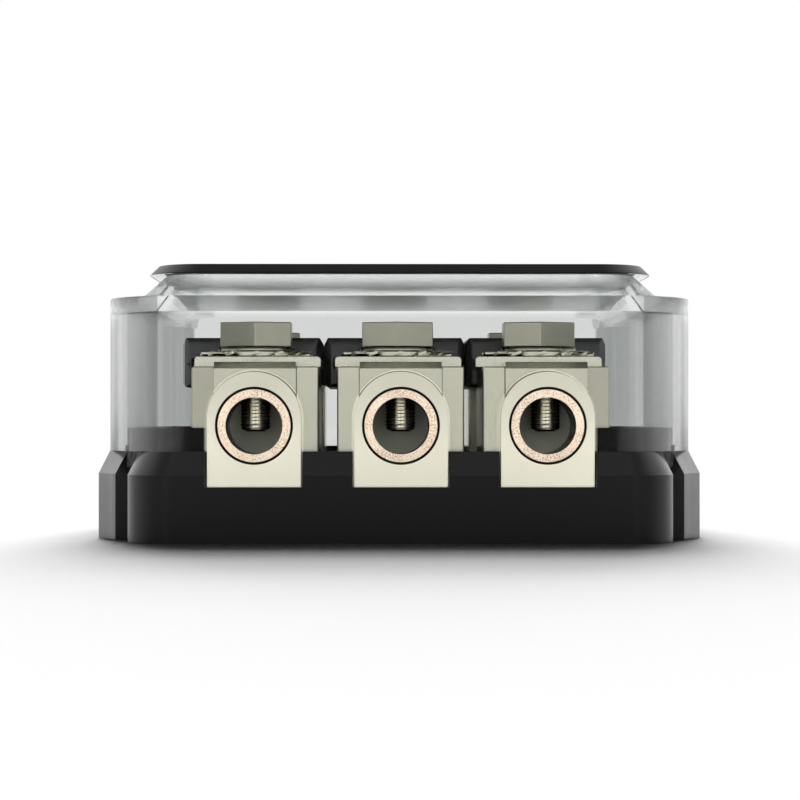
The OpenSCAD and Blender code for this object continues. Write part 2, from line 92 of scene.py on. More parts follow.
# Satin nickel of the terminals, the dark colour of its painted contact-shadow lines and painted shade, and
# how deep that painted shade goes
NICKEL = 0.80
NICKEL_TINT = (1.0, 0.973, 0.80)
PAINTED_SHADE_DARK = (0.10, 0.095, 0.08, 1)
BODY_PAINTED_SHADE = 0.27

# Places on a terminal: depths behind the sleeve's face, widths from the lane's middle and heights
BOSS_BACK = 3.0 * MM
BODY_BACK = 4.4 * MM
BOSS_HALF = 7.15 * MM
BODY_TOP = 30.6 * MM
BARREL_RADIUS = 8.1 * MM
ARCH_HEIGHT = 11.85 * MM
BORE_RADIUS = 6.9 * MM
GROOVE_RADIUS = 6.3 * MM
GROOVE_DEPTH = 1.5 * MM
# Where the painted shade starts: beyond this width on the body faces, and between these heights on the barrel
OUTMOST_SHADE_FROM = 31.0 * MM
BARREL_SHADE_FROM = 17.0 * MM
BARREL_SHADE_TO = 28.0 * MM
ON_FACE = 0.05 * MM

# Painted contact-shadow lines of the terminals, where parts meet: their widths, and how far back the one
# under the fuse strip reaches
ARCH_LINE = 0.22 * MM
BOSS_LINE = 0.16 * MM
BOSS_GAP = 0.02 * MM
TOP_LINE = 0.2 * MM
TOP_REACH = 1.0 * MM

# Drilled bores and copper sleeves, with painted shade inside the bore, a painted shadow in the groove round
# the sleeve and painted shade on the sleeve's inner wall
BORE_MOUTH = 0.25 * MM
SLEEVE_MOUTH = 0.2 * MM
TURNING_PITCH = 0.22 * MM
BORE_PAINTED_SHADE = (0.34, 0.35, 0.29, 1)
GROOVE_PAINTED_SHADOW = (0.02, 0.02, 0.018, 1)
COPPER_RED = (0.88, 0.70, 0.54, 1)
COPPER_PALE = (0.90, 0.77, 0.61, 1)
COPPER_SPECK = (0.36, 0.25, 0.17, 1)
SLEEVE_WALL_PAINTED_SHADE = (0.04, 0.037, 0.033, 1)

# Spring washers: the band below their top face that is painted dark, a painted shadow of the bolt head
HEAD_SHADOW_FROM = 0.55 * MM
HEAD_SHADOW_TO = 0.3 * MM

# Fuse strips, as they lie in the photograph
BLADE_PITCH = 24.9 * MM
BLADE_SHIFT = -0.35 * MM

# Badge: its foil, how far that stays inside the plate's edges, and the air film below the plate
FOIL = (0.90, 0.92, 0.915, 1)
FOIL_INSET = 1.4 * MM
FOIL_SIDE_INSET = 0.2 * MM
FOIL_BAND = 0.1 * MM
AIR_FILM = 0.06 * MM
LEVEL_SLACK = 0.01 * MM

# Lid: where its corners start and their painted shade begins, and how far below its top or inside its sides a
# tint changes
CORNER_START = 42 * MM
CORNER_EDGE = 4.6 * MM
CORNER_REACH = 18.0 * MM
SHOULDER_DROP = 7.0 * MM
CEILING_DROP = 6.3 * MM
CROWN_DROP = 3.8 * MM
CROWN_RIM = 0.4 * MM
INNER_CEILING_DROP = 2.6 * MM
INNER_CEILING_FRONT = 4.9 * MM
INNER_CEILING_SIDE = 11.3 * MM
CROWN_CORNER = 37.5 * MM
SHEEN_LEAD = 5.0 * MM

# Tints of the lid's clear plastic: an even smoke tint, painted shade in the rounded corners and the crown's
# corners, painted light on the front shoulder and the crown
WALL_DEEP = (0.80, 0.81, 0.805, 1)
WALL_CLEAR = (0.82, 0.825, 0.82, 1)
CORNER_SHADE_DEEP = (0.35, 0.37, 0.365, 1)
CORNER_SHADE_LIGHT = (0.43, 0.445, 0.44, 1)
CORNER_RIM_SHADE = (0.38, 0.39, 0.385, 1)
SHOULDER_PAINTED_LIGHT = (0.98, 0.985, 0.98, 1)
CROWN_FOOT_LIGHT = (0.87, 0.89, 0.885, 1)
CROWN_HEAD_LIGHT = (0.86, 0.88, 0.875, 1)
CROWN_CORNER_SHADE = (0.62, 0.64, 0.635, 1)

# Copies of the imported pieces
MERGE_DISTANCE = 2e-6
FLAT_DEGREES = 0.6
SHARP_DEGREES = 34.0
CLEAR_SHARP_DEGREES = 12

# Set screws
THREAD_PITCH = 0.6 * MM
THREAD_DEPTH = 0.26 * MM
THREAD_STEPS = 8
THREAD_SIDES = 36
TIP_LENGTH = 0.4 * MM
TIP_SHARE = 0.72
SOCKET_RADIUS = 1.73 * MM
SOCKET_DEPTH = 3.5 * MM
THREAD_SHARP_DEGREES = 40

# Toothed washers
TEETH = 14
TOOTH_ROOT = 7.2 * MM
TOOTH_WIDTH = 1.75 * MM
TOOTH_THICKNESS = 0.55 * MM
TOOTH_TWIST_DEGREES = 17
TOOTH_EDGE = 0.07 * MM
TOOTH_SHARP_DEGREES = 50
RING_HOLE = 3.6 * MM
RING_RADIUS = 7.65 * MM
RING_INSET = 0.15 * MM
RING_EDGE = 0.08 * MM
RING_STEPS = 72

# Surroundings: fill for diffuse light, then what reflections see: sky, upright boxes, ahead and sides
FILL = 0.004
SKY_GLOSS = 0.92
BOX_GLOSS = 2.0
AHEAD_GLOSS = 0.08
SIDE_GLOSS = 2.0

# Their turns from straight ahead of the holder's front, in radians: middle, full to, faded by
BOX_TURN, BOX_FULL, BOX_FADED = 0.26, 0.04, 0.11
AHEAD_FROM, AHEAD_TO = 0.5, 1.3
SIDE_FROM, SIDE_FULL, SIDE_LAST, SIDE_END = 1.0, 1.5, 2.5, 2.9

# Floor: its shade, and half its width in metres
FLOOR_SHADE = 0.9
FLOOR_HALF = 6.0

# Soft lights behind the holder: height and spread in degrees, and share of the floor's light
SOFT_LIGHTS = ((16, 30, 0.34), (32, 30, 0.34), (50, 30, 0.30), (66, 30, 0.03))


# Shader maths

class Wire:
    """One output socket of a material's node tree, with arithmetic."""

    def __init__(self, graph, socket):
        self.graph = graph
        self.socket = socket

    def _math(self, operation, a, b=None):
        values = {0: a} if b is None else {0: a, 1: b}
        return self.graph.node("ShaderNodeMath", {"operation": operation}, values)

    def __add__(self, other):
        return self._math("ADD", self, other)

    def __radd__(self, other):
        return self._math("ADD", other, self)

    def __sub__(self, other):
        return self._math("SUBTRACT", self, other)

    def __rsub__(self, other):
        return self._math("SUBTRACT", other, self)

    def __mul__(self, other):
        return self._math("MULTIPLY", self, other)

    def __rmul__(self, other):
        return self._math("MULTIPLY", other, self)

    def __truediv__(self, other):
        return self._math("DIVIDE", self, other)

    def sin(self):
        return self._math("SINE", self)

    def abs(self):
        return self._math("ABSOLUTE", self)

    def root(self):
        return self._math("SQRT", self)

    def nearest(self):
        return self._math("ROUND", self)

    def angle_from(self, other):
        return self._math("ARCTAN2", self, other)

    def larger(self, other):
        return self._math("MAXIMUM", self, other)

    def below(self, other, soft=1e-5):
        """1 where this value is under the other one, with a soft edge, else 0."""
        return self.graph.ramp(other - self, -soft, soft)


class Finish:
    """A material with one Principled shader; constants are set on its sockets."""

    def __init__(self, name, **constants):
        self.material = bpy.data.materials.new(name)
        self.material.use_nodes = True
        self.tree = self.material.node_tree
        self.shader = self.tree.nodes["Principled BSDF"]
        for key, value in constants.items():
            self.shader.inputs[key.replace("_", " ")].default_value = value
        self.place = self.node("ShaderNodeTexCoord", {}, {}, "Object")

    def node(self, kind, settings, values, output=0):
        made = self.tree.nodes.new(kind)
        for key, value in settings.items():
            setattr(made, key, value)
        for key, value in values.items():
            if isinstance(value, Wire):
                self.tree.links.new(value.socket, made.inputs[key])
            else:
                made.inputs[key].default_value = value
        return Wire(self, made.outputs[output])

    def axis(self, letter):
        return self.node("ShaderNodeSeparateXYZ", {}, {"Vector": self.place}, "XYZ".index(letter))

    def noise(self, size_mm, detail=2.0, stretch=None):
        place = self.place
        if stretch:
            place = self.node("ShaderNodeMapping", {}, {"Vector": self.place, "Scale": stretch})
        values = {"Vector": place, "Scale": 1 / (size_mm * MM), "Detail": detail}
        return self.node("ShaderNodeTexNoise", {}, values, "Fac")

    def blend(self, factor, first, second):
        return self.node("ShaderNodeMix", {"data_type": "RGBA"}, {"Factor": factor, 6: first, 7: second}, 2)

    def ramp(self, value, low, high, out_low=0.0, out_high=1.0):
        values = {"Value": value, "From Min": low, "From Max": high, "To Min": out_low, "To Max": out_high}
        return self.node("ShaderNodeMapRange", {"clamp": True}, values)

    def feed(self, socket, value):
        self.tree.links.new(value.socket, self.shader.inputs[socket])

    def bump(self, height, depth_mm, strength):
        values = {"Height": height, "Distance": depth_mm * MM, "Strength": strength}
        self.feed("Normal", self.node("ShaderNodeBump", {}, values, "Normal"))


def grey(value):
    return (value, value, value, 1.0)


def warm(value, tint=NICKEL_TINT):
    return (value * tint[0], value * tint[1], value * tint[2], 1.0)


# Finishes

def moulded_black(name, shade, rough, sheen, ior=1.5):
    """Black moulded plastic with a fine grain."""
    f = Finish(name, Specular_IOR_Level=sheen, IOR=ior)
    grain = f.noise(0.35, 3.0)
    cloud = f.noise(14.0)
    f.feed("Base Color", f.blend(cloud, grey(shade * 0.85), grey(shade * 1.2)))
    f.feed("Roughness", f.ramp(cloud + 0.4 * grain, 0.3, 1.1, rough - 0.03, rough + 0.05))
    f.bump(grain, 0.012, 0.35)
    return f.material


def badge_plate():
    """Black satin plate; its underside is backed with bright foil, which shows through the clear crown."""
    low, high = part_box("badge")
    f = Finish("badge_black", Specular_IOR_Level=0.05)
    underside = f.axis("Z").below(low.z + FOIL_BAND)
    within = f.axis("X").abs().below(high.x - FOIL_SIDE_INSET) * f.axis("Y").abs().below(high.y - FOIL_INSET)
    foil = underside * within
    grain = f.noise(0.2, 3.0)
    cloud = f.noise(14.0)
    black = f.blend(cloud, grey(0.010), grey(0.014))
    f.feed("Base Color", f.blend(foil, black, FOIL))
    f.feed("Metallic", foil)
    f.feed("Roughness", f.ramp(cloud + 0.4 * grain, 0.3, 1.1, 0.27, 0.35) - 0.22 * foil)
    return f.material


def plated(name, shade, rough, grain_mm=0.25, tint=(1.0, 0.975, 0.83)):
    """Plated metal with a faint cloud and a fine grain."""
    f = Finish(name, Metallic=1.0)
    grain = f.noise(grain_mm, 3.0)
    cloud = f.noise(6.0)
    f.feed("Base Color", f.blend(cloud, warm(shade * 0.96, tint), warm(min(1.0, shade * 1.03), tint)))
    f.feed("Roughness", f.ramp(cloud + 0.5 * grain, 0.4, 1.1, rough - 0.03, rough + 0.05))
    f.bump(grain, 0.004, 0.3)
    return f.material


def spring_nickel():
    """Plated like the washers, with a painted shadow where it meets the bolt head."""
    f = Finish("spring_nickel", Metallic=1.0)
    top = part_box("spring_washer_front_middle")[1].z
    # Painted shadow of the bolt head on the washer's top band
    head_shadow = f.ramp(f.axis("Z"), top - HEAD_SHADOW_FROM, top - HEAD_SHADOW_TO)
    cloud = f.noise(3.0)
    f.feed("Base Color", f.blend(head_shadow, f.blend(cloud, warm(0.66), warm(0.74)), warm(0.05)))
    f.feed("Roughness", f.ramp(cloud, 0.3, 0.7, 0.2, 0.28))
    return f.material


def lane_centre(node):
    low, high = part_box(node)
    return (low + high) / 2


def lane_pitch():
    return lane_centre("terminal_front_right").x - lane_centre("terminal_front_middle").x


def lane_place(f):
    """Distance across from the middle of the nearest lane, and height."""
    pitch = lane_pitch()
    x = f.axis("X")
    return (x - (x / pitch).nearest() * pitch).abs(), f.axis("Z")


def bore_place(f):
    """Distance from the nearest cable bore's axis, and depth behind the sleeves' faces."""
    low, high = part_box("cable_sleeve_front_middle")
    across, height = lane_place(f)
    up = height - (low.z + high.z) / 2
    return (across * across + up * up).root(), -low.y - f.axis("Y").abs()


def terminal_shadow_lines(f, depth, across, height):
    """Masks of the painted contact-shadow lines (round the arch, beside the boss, under the strip) and of the
    body's face.
    """
    on_boss = (depth - BOSS_BACK).abs().below(ON_FACE)
    on_body = (depth - BODY_BACK).abs().below(ON_FACE)
    arch_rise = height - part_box("terminal_front_middle")[0].z - ARCH_HEIGHT
    arch = (across * across + arch_rise * arch_rise).root()
    beside = 1 - across.below(BOSS_HALF + BOSS_GAP)
    at_top = (1 - height.below(BODY_TOP - TOP_LINE)) * beside * depth.below(BODY_BACK + TOP_REACH)
    # Painted contact shadows where the arch, the boss and the fuse strip meet the body
    line = on_boss * arch.below(BARREL_RADIUS + ARCH_LINE)
    line = line.larger(on_body * across.below(BOSS_HALF + BOSS_LINE))
    return line.larger(at_top), on_body


def terminal_nickel():
    """Satin nickel outside, with painted contact-shadow lines where parts meet, and painted shade on the
    outermost body faces and towards the barrel's top; inside the drilled bore it is rougher and painted
    darker as shade, with a painted black shadow in the groove round the sleeve.
    """
    f = Finish("terminal_nickel", Metallic=1.0)
    radius, depth = bore_place(f)
    across, height = lane_place(f)
    inside = radius.below(BORE_RADIUS) * (1 - depth.below(BORE_MOUTH, 0.15 * MM))
    groove = inside * (1 - radius.below(GROOVE_RADIUS)) * depth.below(GROOVE_DEPTH, 0.1 * MM)
    line, on_body = terminal_shadow_lines(f, depth, across, height)
    # Painted shade: darker on the outermost body faces and towards the barrel's top
    outmost_shade = f.ramp(f.axis("X").abs(), OUTMOST_SHADE_FROM, OUTMOST_SHADE_FROM + 2.0 * MM)
    barrel_top_shade = f.ramp(height, BARREL_SHADE_FROM, BARREL_SHADE_TO, 0.0, BODY_PAINTED_SHADE)
    shade = (on_body * BODY_PAINTED_SHADE * outmost_shade).larger(depth.below(1.0 * MM) * barrel_top_shade)
    grain = f.noise(0.25, 3.0)
    cloud = f.noise(6.0)
    outer = f.blend(cloud, warm(NICKEL * 0.97), warm(NICKEL * 1.02))
    outer = f.blend(shade.larger(line * 0.8), outer, PAINTED_SHADE_DARK)
    # Painted shade inside the bore, with a painted black shadow in the groove round the sleeve
    bore = f.blend(groove, BORE_PAINTED_SHADE, GROOVE_PAINTED_SHADOW)
    f.feed("Base Color", f.blend(inside, outer, bore))
    f.feed("Roughness", f.ramp(cloud + 0.5 * grain, 0.4, 1.1, 0.19, 0.27) + 0.3 * inside)
    f.bump(grain, 0.003, 0.25)
    return f.material


def turned_copper():
    """Pale copper with fine turning rings, brown specks and a scuffed patch; its inner wall is painted dark,
    as painted shade.
    """
    f = Finish("turned_copper", Metallic=1.0)
    radius, depth = bore_place(f)
    rings = (radius * (2 * math.pi / TURNING_PITCH)).sin()
    fleck = f.noise(0.26, 4.0)
    cloud = f.noise(2.2)
    patch = f.ramp(f.noise(5.0, 1.0), 0.42, 0.62, 0.08, 0.0)
    spots = f.ramp(fleck + patch, 0.58, 0.66)
    pale = f.blend(f.ramp(cloud, 0.35, 0.65), COPPER_RED, COPPER_PALE)
    face = f.blend(spots * 0.75, pale, COPPER_SPECK)
    # Painted shade on the sleeve's inner wall
    wall = 1 - depth.below(SLEEVE_MOUTH, 0.1 * MM)
    f.feed("Base Color", f.blend(wall, face, SLEEVE_WALL_PAINTED_SHADE))
    f.feed("Roughness", f.ramp(cloud, 0.3, 0.7, 0.24, 0.36))
    f.bump(rings * 0.5 + fleck, 0.012, 0.5)
    return f.material


def clear_cover():
    """Clear moulding with a smoke tint; painted shade deepens it in its rounded corners and at the crown's
    corners, painted light clears it on the front shoulder and the crown, and a soft sheen sits on the front
    corners.
    """
    f = Finish("clear_cover", Transmission_Weight=1.0, IOR=1.075, Coat_IOR=1.55, Coat_Roughness=0.2)
    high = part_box("lid")[1]
    x, y, height = f.axis("X").abs(), f.axis("Y"), f.axis("Z")
    side = f.ramp(x, CORNER_START, CORNER_START + 0.3 * MM)
    rounded = f.ramp(y.abs(), high.y - CORNER_REACH, high.y - CORNER_REACH + 4.0 * MM)
    edge = f.ramp(x, CORNER_START + CORNER_EDGE, CORNER_START + CORNER_EDGE + 1.8 * MM)
    raised = f.ramp(height, high.z - SHOULDER_DROP, high.z - SHOULDER_DROP + 0.3 * MM)
    crown = f.ramp(height, high.z - CROWN_DROP, high.z - CROWN_DROP + 0.2 * MM)
    ceiling = raised * height.below(high.z - CEILING_DROP)
    front = y.below(0, 1.0 * MM)

    # Painted shade deepens the tint in the rounded corners and the crown's corners; painted light clears it
    # on the front shoulder and the crown
    streaks = f.ramp(f.noise(1.1, stretch=(1.0, 1.0, 0.02)), 0.35, 0.65)
    wall = f.blend(f.noise(9.0), WALL_DEEP, WALL_CLEAR)
    corner = f.blend(edge, f.blend(streaks, CORNER_SHADE_DEEP, CORNER_SHADE_LIGHT), CORNER_RIM_SHADE)
    shoulder = f.blend(raised * (1 - crown) * front, wall, SHOULDER_PAINTED_LIGHT)
    rising = f.ramp(height, high.z - CROWN_DROP + 0.2 * MM, high.z - CROWN_RIM)
    peak = f.blend(rising, CROWN_FOOT_LIGHT, CROWN_HEAD_LIGHT)
    peak = f.blend(f.ramp(x, CROWN_CORNER, CROWN_CORNER + 1.0 * MM), peak, CROWN_CORNER_SHADE)
    corner_share = side * (0.55 + 0.45 * rounded) * (1 - crown)
    f.feed("Base Color", f.blend(corner_share, f.blend(crown, shoulder, peak), corner))

    inner_ceiling = (height - (high.z - INNER_CEILING_DROP)).abs().below(0.1 * MM)
    inner_ceiling = inner_ceiling * y.abs().below(high.y - INNER_CEILING_FRONT)
    inner_ceiling = inner_ceiling * x.below(high.x - INNER_CEILING_SIDE)
    soft = (side * 0.15).larger(raised * (0.05 + 0.1 * side))
    f.feed("Roughness", soft.larger((ceiling * 0.25).larger(inner_ceiling * 0.24)))

    sheen = f.ramp(x, CORNER_START - SHEEN_LEAD, CORNER_START) * rounded * (1 - raised) * front
    f.feed("Coat Weight", sheen * (1.0 - edge * 0.6))
    return f.material


def clear_pane():
    """Clear window of a fuse case."""
    f = Finish("clear_pane", Transmission_Weight=1.0, IOR=1.3, Roughness=0.05)
    f.feed("Base Color", f.blend(f.noise(9.0), grey(0.9), grey(0.93)))
    return f.material


# Pieces

def new_piece(node, mesh):
    piece = bpy.data.objects.new(node + "_finished", mesh)
    bpy.context.scene.collection.objects.link(piece)
    return piece


def settle(piece, node, material):
    """Gives a finished mesh its material and lets it stand for its CAD node."""
    piece.data.materials.clear()
    piece.data.materials.append(material)
    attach(piece, nodes[node]["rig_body"])
    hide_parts(node)
    return piece


def baked(piece):
    """Turns a piece's modifiers into plain mesh."""
    evaluated = piece.evaluated_get(bpy.context.evaluated_depsgraph_get())
    mesh = bpy.data.meshes.new_from_object(evaluated)
    piece.modifiers.clear()
    piece.data = mesh


def break_edges(piece, width, degrees):
    """Adds a soft bevel to every edge that turns by more than the angle."""
    bevel = piece.modifiers.new("edges", "BEVEL")
    bevel.width = width
    bevel.segments = 2
    bevel.limit_method = "ANGLE"
    bevel.angle_limit = math.radians(degrees)
    bevel.use_clamp_overlap = True


def smooth_by_angle(mesh, degrees):
    mesh.shade_smooth()
    mesh.set_sharp_from_angle(angle=math.radians(degrees))


def merged_copy(node):
    """A CAD node's mesh with its doubles merged and its flat faces joined."""
    mesh = nodes[node].data.copy()
    work = bmesh.new()
    work.from_mesh(mesh)
    bmesh.ops.remove_doubles(work, verts=work.verts, dist=MERGE_DISTANCE)
    bmesh.ops.dissolve_limit(work, angle_limit=math.radians(FLAT_DEGREES), verts=work.verts, edges=work.edges)
    work.to_mesh(mesh)
    work.free()
    return mesh


def refined(node, material, edge_mm):
    """A copy of a CAD node with its edges softly broken and its flat faces shaded flat."""
    piece = new_piece(node, merged_copy(node))
    break_edges(piece, edge_mm * MM, SHARP_DEGREES)
    baked(piece)
    smooth_by_angle(piece.data, SHARP_DEGREES)
    flats = piece.modifiers.new("flats", "WEIGHTED_NORMAL")
    flats.keep_sharp = True
    flats.weight = 100
    baked(piece)
    return settle(piece, node, material)


def clear_piece(node, material, edge_mm=0):
    """A copy of a clear CAD node; its straight faces stay optically flat, only its corners are smooth."""
    piece = new_piece(node, merged_copy(node))
    if edge_mm:
        break_edges(piece, edge_mm * MM, SHARP_DEGREES)
        baked(piece)
    smooth_by_angle(piece.data, CLEAR_SHARP_DEGREES)
    for face in piece.data.polygons:
        face.use_smooth = abs(face.normal.x) > 0.02 and abs(face.normal.y) > 0.02
    return settle(piece, node, material)


def lift_underside(piece):
    """Leaves a film of air under a piece that lies on a clear surface."""
    lowest = min(v.co.z for v in piece.data.vertices)
    for v in piece.data.vertices:
        if v.co.z < lowest + LEVEL_SLACK:
            v.co.z += AIR_FILM


def centre_blade(piece, x):
    """Slides a fuse strip in its case so that its middle stands at x, as the photograph shows it."""
    xs = [v.co.x for v in piece.data.vertices]
    move = x - (min(xs) + max(xs)) / 2
    for v in piece.data.vertices:
        v.co.x += move


def each(what):
    return [f"{what}_{side}_{lane}" for side in SIDES for lane in LANES]


def each_fuse(what):
    return [f"{what}_{lane}" for lane in LANES]


# Threaded set screws

def thread_radius(radius, z, turn, turns_from_end):
    """Radius of a helical thread that fades out over its first and last turn."""
    phase = (z / THREAD_PITCH - turn) % 1.0
    groove = 0.5 + 0.5 * math.cos(2 * math.pi * phase)
    return radius - THREAD_DEPTH * (groove * min(1.0, turns_from_end) + max(0.0, 1 - turns_from_end))


def threaded_wall(bm, centre, radius, z0, z1):
    """A helical thread between two heights; returns its lowest and highest rings."""
    rows = int(round((z1 - z0) / THREAD_PITCH * THREAD_STEPS))
    rings = []
    for row in range(rows + 1):
        z = z0 + (z1 - z0) * row / rows
        turns_from_end = min(row, rows - row) / THREAD_STEPS
        ring = []
        for k in range(THREAD_SIDES):
            turn = k / THREAD_SIDES
            r = thread_radius(radius, z, turn, turns_from_end)
            angle = 2 * math.pi * turn
            ring.append(bm.verts.new((centre.x + r * math.cos(angle), centre.y + r * math.sin(angle), z)))
        rings.append(ring)
    for low, high in zip(rings, rings[1:]):
        join_rings(bm, low, high)
    return rings[0], rings[-1]


def join_rings(bm, outer, inner, flip=False):
    """Joins two rings of equal count with a band of faces."""
    for k in range(len(outer)):
        j = (k + 1) % len(outer)
        face = (outer[k], outer[j], inner[j], inner[k])
        bm.faces.new(tuple(reversed(face)) if flip else face)


def hexagon_mouth(bm, centre, z):
    """A ring of points along the socket's hexagon, the first one beside the thread's first point."""
    half = math.pi / 6
    mouth = []
    for k in range(THREAD_SIDES):
        angle = 2 * math.pi * k / THREAD_SIDES
        sector = (angle + half) % (2 * half) - half
        r = SOCKET_RADIUS * math.cos(half) / math.cos(sector)
        x = centre.x + r * math.cos(angle + half)
        y = centre.y + r * math.sin(angle + half)
        mouth.append(bm.verts.new((x, y, z)))
    shift = THREAD_SIDES // 12
    return mouth[-shift:] + mouth[:-shift]


def set_screw_piece(node, material):
    """A set screw with a thread, a cone tip and a hexagon socket."""
    low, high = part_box(node)
    centre = (low + high) / 2
    bm = bmesh.new()
    bottom, top = threaded_wall(bm, centre, (high.x - low.x) / 2, low.z + TIP_LENGTH, high.z)
    tip = []
    for v in bottom:
        x = centre.x + (v.co.x - centre.x) * TIP_SHARE
        y = centre.y + (v.co.y - centre.y) * TIP_SHARE
        tip.append(bm.verts.new((x, y, low.z)))
    join_rings(bm, bottom, tip, flip=True)
    bm.faces.new(tuple(reversed(tip)))
    mouth = hexagon_mouth(bm, centre, high.z)
    join_rings(bm, top, mouth)
    floor_ring = [bm.verts.new((v.co.x, v.co.y, high.z - SOCKET_DEPTH)) for v in mouth]
    join_rings(bm, mouth, floor_ring)
    bm.faces.new(floor_ring)
    bmesh.ops.recalc_face_normals(bm, faces=bm.faces)
    mesh = bpy.data.meshes.new(node + "_thread")
    bm.to_mesh(mesh)
    bm.free()
    smooth_by_angle(mesh, THREAD_SHARP_DEGREES)
    return settle(new_piece(node, mesh), node, material)


# Toothed washers

def teeth_tree():
    """Node tree that sets twisted leaves round a ring: the repeated teeth of a lock washer."""
    tree = bpy.data.node_groups.new("washer_teeth", "GeometryNodeTree")
    tree.interface.new_socket("Ring", in_out="INPUT", socket_type="NodeSocketGeometry")
    kinds = {"Teeth": "NodeSocketInt", "Radius": "NodeSocketFloat", "Leaf": "NodeSocketVector",
             "Twist": "NodeSocketFloat", "Centre": "NodeSocketVector", "Finish": "NodeSocketMaterial"}
    sockets = {}
    for name, kind in kinds.items():
        sockets[name] = tree.interface.new_socket(name, in_out="INPUT", socket_type=kind).identifier
    tree.interface.new_socket("Washer", in_out="OUTPUT", socket_type="NodeSocketGeometry")

    def node(kind, operation=None, **inputs):
        """Adds a node; each input is a number or the socket it is wired to, named as words or _0, _1."""
        made = tree.nodes.new(kind)
        if operation:
            made.operation = operation
        for key, value in inputs.items():
            target = made.inputs[int(key[1:]) if key[0] == "_" else key]
            if isinstance(value, float):
                target.default_value = value
            else:
                tree.links.new(value, target)
        return made.outputs

    given = node("NodeGroupInput")
    circle = node("GeometryNodeMeshCircle", Vertices=given["Teeth"], Radius=given["Radius"])
    leaf = node("GeometryNodeMeshCube", Size=given["Leaf"])
    step = node("ShaderNodeMath", "DIVIDE", _0=2 * math.pi, _1=given["Teeth"])
    turn = node("ShaderNodeMath", "MULTIPLY", _0=node("GeometryNodeInputIndex")[0], _1=step[0])
    angles = node("ShaderNodeCombineXYZ", X=given["Twist"], Z=turn[0])
    placed = node("GeometryNodeInstanceOnPoints",
                  Points=circle["Mesh"], Instance=leaf["Mesh"], Rotation=angles[0])
    half_step = node("ShaderNodeMath", "MULTIPLY", _0=step[0], _1=0.5)
    offset = node("ShaderNodeCombineXYZ", Z=half_step[0])
    moved = node("GeometryNodeTransform", Geometry=placed[0], Translation=given["Centre"], Rotation=offset[0])
    joined = tree.nodes.new("GeometryNodeJoinGeometry")
    tree.links.new(moved[0], joined.inputs[0])
    tree.links.new(given["Ring"], joined.inputs[0])
    real = node("GeometryNodeRealizeInstances", Geometry=joined.outputs[0])
    finished = node("GeometryNodeSetMaterial", Geometry=real[0], Material=given["Finish"])
    node("NodeGroupOutput", _0=finished[0])
    return tree, sockets


def ring_mesh(name, centre, low, high):
    """A flat ring with softly broken edges, turned from its profile."""
    hole_edge, rim_edge = RING_HOLE + RING_EDGE, RING_RADIUS - RING_EDGE
    low_edge, high_edge = low + RING_EDGE, high - RING_EDGE
    profile = [(hole_edge, low), (rim_edge, low), (RING_RADIUS, low_edge), (RING_RADIUS, high_edge),
               (rim_edge, high), (hole_edge, high), (RING_HOLE, high_edge), (RING_HOLE, low_edge)]
    bm = bmesh.new()
    rows = []
    for k in range(RING_STEPS):
        angle = 2 * math.pi * k / RING_STEPS
        across, along = math.cos(angle), math.sin(angle)
        rows.append([bm.verts.new((centre.x + r * across, centre.y + r * along, z)) for r, z in profile])
    for here, ahead in zip(rows, rows[1:] + rows[:1]):
        join_rings(bm, here, ahead, flip=True)
    bmesh.ops.recalc_face_normals(bm, faces=bm.faces)
    mesh = bpy.data.meshes.new(name)
    bm.to_mesh(mesh)
    bm.free()
    return mesh


def toothed_washer_piece(node, material, tree, sockets):
    """A lock washer: a turned ring with twisted teeth from Geometry Nodes."""
    low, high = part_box(node)
    centre = (low + high) / 2
    piece = new_piece(node, ring_mesh(node + "_ring", centre, low.z + RING_INSET, high.z - RING_INSET))
    tip = (high.x - low.x) / 2 - RING_INSET
    teeth = piece.modifiers.new("teeth", "NODES")
    teeth.node_group = tree
    settings = {"Teeth": TEETH, "Radius": (TOOTH_ROOT + tip) / 2,
                "Leaf": (tip - TOOTH_ROOT, TOOTH_WIDTH, TOOTH_THICKNESS),
                "Twist": math.radians(TOOTH_TWIST_DEGREES), "Centre": tuple(centre), "Finish": material}
    for name, value in settings.items():
        teeth[sockets[name]] = value
    break_edges(piece, TOOTH_EDGE, TOOTH_SHARP_DEGREES)
    baked(piece)
    smooth_by_angle(piece.data, SHARP_DEGREES)
    return settle(piece, node, material)


# Floor, light and camera

def floor():
    size = FLOOR_HALF
    mesh = bpy.data.meshes.new("floor")
    corners = [(-size, -size, 0), (size, -size, 0), (size, size, 0), (-size, size, 0)]
    mesh.from_pydata(corners, [], [(0, 1, 2, 3)])
    obj = bpy.data.objects.new("floor", mesh)
    bpy.context.scene.collection.objects.link(obj)
    f = Finish("pale_floor", Roughness=0.9, Specular_IOR_Level=0.0)
    f.shader.inputs["Base Color"].default_value = grey(FLOOR_SHADE)
    mesh.materials.append(f.material)


class Sky(Finish):
    """The world's node tree, with the same arithmetic as a finish."""

    def __init__(self, name):
        self.world = bpy.data.worlds.new(name)
        self.world.use_nodes = True
        self.tree = self.world.node_tree
        self.shader = self.tree.nodes["Background"]
        self.place = self.node("ShaderNodeTexCoord", {}, {}, "Generated")

    def light_path(self, output):
        return self.node("ShaderNodeLightPath", {}, {}, output)


